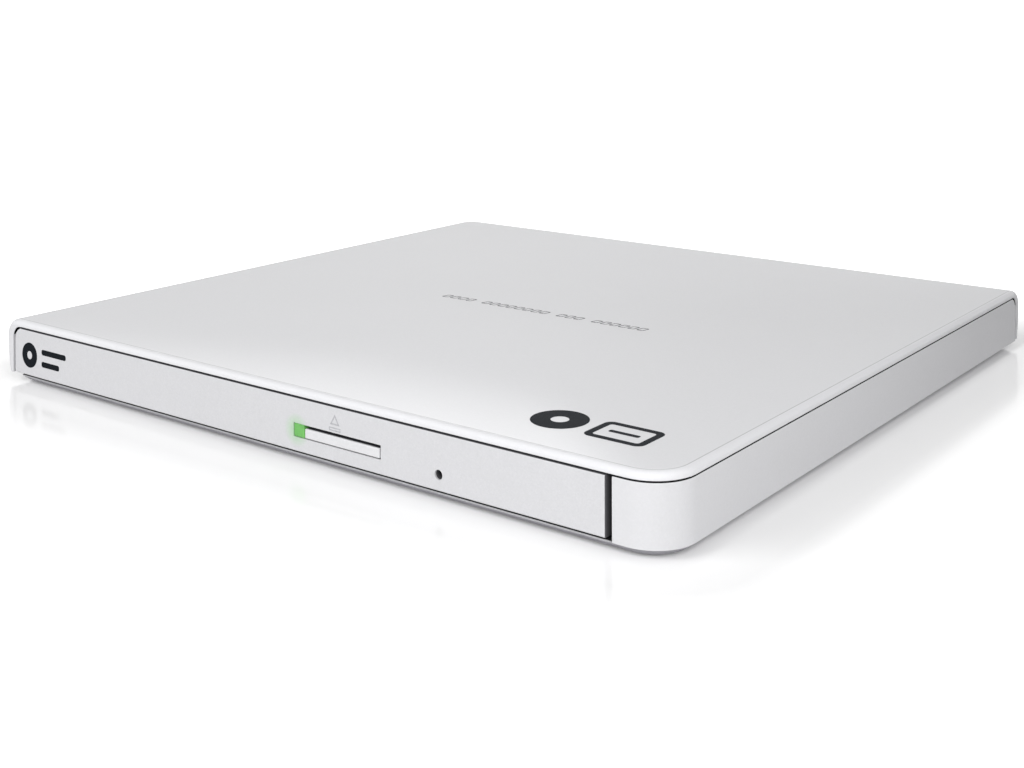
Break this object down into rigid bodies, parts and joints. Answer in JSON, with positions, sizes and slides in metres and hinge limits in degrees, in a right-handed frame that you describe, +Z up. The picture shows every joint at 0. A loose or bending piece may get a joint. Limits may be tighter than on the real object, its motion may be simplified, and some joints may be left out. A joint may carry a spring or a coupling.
{
  "type": "slim external optical disc drive",
  "caption": "Slim portable disc drive: folded metal cover over a moulded case, sliding drawer with eject key, lamp and release pinhole, disc spindle and moving pickup inside.",
  "frame": {"origin": "centre of the bounding box at the plane of the feet", "axes": "+X to the right across the drawer front, -Y towards the drawer front, +Z up"},
  "size_m": [0.144, 0.1376, 0.0113],
  "materials": {
    "shell_aluminium": "light silver, satin",
    "case_plastic": "painted silver-grey, satin",
    "bezel_silver": "silver metallic paint with fine sparkle",
    "rubber_foot": "matt",
    "screw_steel": "nickel plated",
    "chassis_steel": "rolled zinc-coated sheet",
    "guide_plastic": "natural acetal",
    "rail_steel": "rolled stainless sheet",
    "tray_plastic": "fine texture",
    "lens_green": "diffusing light pipe, lit green",
    "board_green": "solder mask",
    "connector_cream": "moulded",
    "led_resin": "clear yellowish resin",
    "switch_black": "moulded",
    "brass_pin": "turned",
    "coil_copper": "enamelled wire",
    "lever_steel": "stamped",
    "acetal_white": "moulded",
    "deck_steel": "stamped zinc-coated",
    "deck_trim": "bead-blasted",
    "damper_rubber": "soft butyl",
    "stator": "laminations with windings",
    "rotor_steel": "drawn and turned",
    "mat_rubber": "matt",
    "claw_acetal": "moulded",
    "pickup_zinc": "zinc die casting, matt",
    "holder_black": "moulded",
    "lens_glass": "coated, violet reflection",
    "rod_steel": "ground and polished",
    "motor_steel": "plated can",
    "usb_steel": "tin plated",
    "usb_black": "moulded",
    "flex_film": "polyimide film"
  },
  "bodies": {
    "enclosure": {"top_cover": "shell_aluminium", "bottom_case": "case_plastic", "foot_front_left": "rubber_foot", "foot_front_right": "rubber_foot", "foot_rear_left": "rubber_foot", "foot_rear_right": "rubber_foot", "case_screws": "screw_steel", "chassis_base": "chassis_steel", "chassis_cover": "chassis_steel", "left_guide": "guide_plastic", "right_guide": "guide_plastic", "bridge_board": "board_green", "usb_shell": "usb_steel", "usb_tongue": "usb_black", "base_connector": "connector_cream", "flex_cable": "flex_film"},
    "rail_on_left": {"left_rail": "rail_steel"},
    "rail_on_right": {"right_rail": "rail_steel"},
    "drawer": {"tray": "tray_plastic", "tray_pan": "chassis_steel", "tray_bezel": "bezel_silver", "light_pipe": "lens_green", "tray_board": "board_green", "tray_connector": "connector_cream", "status_led": "led_resin", "button_switch": "switch_black", "latch_pivot": "brass_pin", "latch_solenoid": "coil_copper", "deck_plate": "deck_steel", "traverse_cover": "deck_trim", "deck_dampers": "damper_rubber", "spindle_base": "stator", "guide_rod_main": "rod_steel", "guide_rod_sub": "rod_steel", "rod_clamps": "acetal_white", "sled_motor": "motor_steel"},
    "button": {"eject_button": "bezel_silver"},
    "lever": {"latch_lever": "lever_steel"},
    "plunger": {"solenoid_plunger": "rod_steel"},
    "slider": {"emergency_slider": "acetal_white"},
    "spindle": {"spindle_rotor": "rotor_steel", "turntable_mat": "mat_rubber"},
    "claw_one": {"hub_claw_1": "claw_acetal"},
    "claw_two": {"hub_claw_2": "claw_acetal"},
    "claw_three": {"hub_claw_3": "claw_acetal"},
    "pickup": {"pickup_body": "pickup_zinc"},
    "lens": {"lens_holder": "holder_black", "objective_lens": "lens_glass"},
    "screw": {"lead_screw": "rod_steel"}
  },
  "joints": [
    {"name": "drawer_slide", "type": "slide", "parent": "enclosure", "child": "drawer", "axis": [0, -1, 0], "range_m": [0, 0.124], "deforming": ["flex_cable"]},
    {"name": "left_rail_slide", "type": "slide", "parent": "enclosure", "child": "rail_on_left", "axis": [0, -1, 0], "range_m": [0, 0.062]},
    {"name": "right_rail_slide", "type": "slide", "parent": "enclosure", "child": "rail_on_right", "axis": [0, -1, 0], "range_m": [0, 0.062]},
    {"name": "eject_button_press", "type": "slide", "parent": "drawer", "child": "button", "axis": [0, 1, 0], "range_m": [0, 0.0005], "stiffness_N_per_m": 150},
    {"name": "latch_lever_turn", "type": "hinge", "parent": "drawer", "child": "lever", "pos_m": [0.0525, -0.0465, 0.0035], "axis": [0, 0, 1], "range_deg": [0, 12]},
    {"name": "solenoid_plunger_slide", "type": "slide", "parent": "drawer", "child": "plunger", "axis": [1, 0, 0], "range_m": [0, 0.00178]},
    {"name": "emergency_slider_push", "type": "slide", "parent": "drawer", "child": "slider", "axis": [0, 1, 0], "range_m": [0, 0.002]},
    {"name": "spindle_spin", "type": "hinge", "parent": "drawer", "child": "spindle", "pos_m": [-0.00365, -0.0042, 0.0062], "axis": [0, 0, 1], "continuous": true},
    {"name": "claw_one_press", "type": "slide", "parent": "spindle", "child": "claw_one", "axis": [-0.7071, 0.7071, 0], "range_m": [0, 0.0004], "stiffness_N_per_m": 400},
    {"name": "claw_two_press", "type": "slide", "parent": "spindle", "child": "claw_two", "axis": [-0.2588, -0.9659, 0], "range_m": [0, 0.0004], "stiffness_N_per_m": 400},
    {"name": "claw_three_press", "type": "slide", "parent": "spindle", "child": "claw_three", "axis": [0.9659, 0.2588, 0], "range_m": [0, 0.0004], "stiffness_N_per_m": 400},
    {"name": "sled_slide", "type": "slide", "parent": "drawer", "child": "pickup", "axis": [-0.7071, -0.7071, 0], "range_m": [0, 0.0335]},
    {"name": "lens_focus", "type": "slide", "parent": "pickup", "child": "lens", "axis": [0, 0, 1], "range_m": [-0.00025, 0.00025], "stiffness_N_per_m": 20},
    {"name": "lead_screw_turn", "type": "hinge", "parent": "drawer", "child": "screw", "pos_m": [-0.01525, 0.0074, 0.0042], "axis": [-0.7071, -0.7071, 0], "continuous": true}
  ],
  "couplings": [
    {"joint": "left_rail_slide", "follows": "drawer_slide", "ratio": 0.5},
    {"joint": "right_rail_slide", "follows": "drawer_slide", "ratio": 0.5},
    {"joint": "latch_lever_turn", "follows": "solenoid_plunger_slide", "rad_per_m": 117.66},
    {"joint": "lead_screw_turn", "follows": "sled_slide", "rad_per_m": 2094.4}
  ]
}
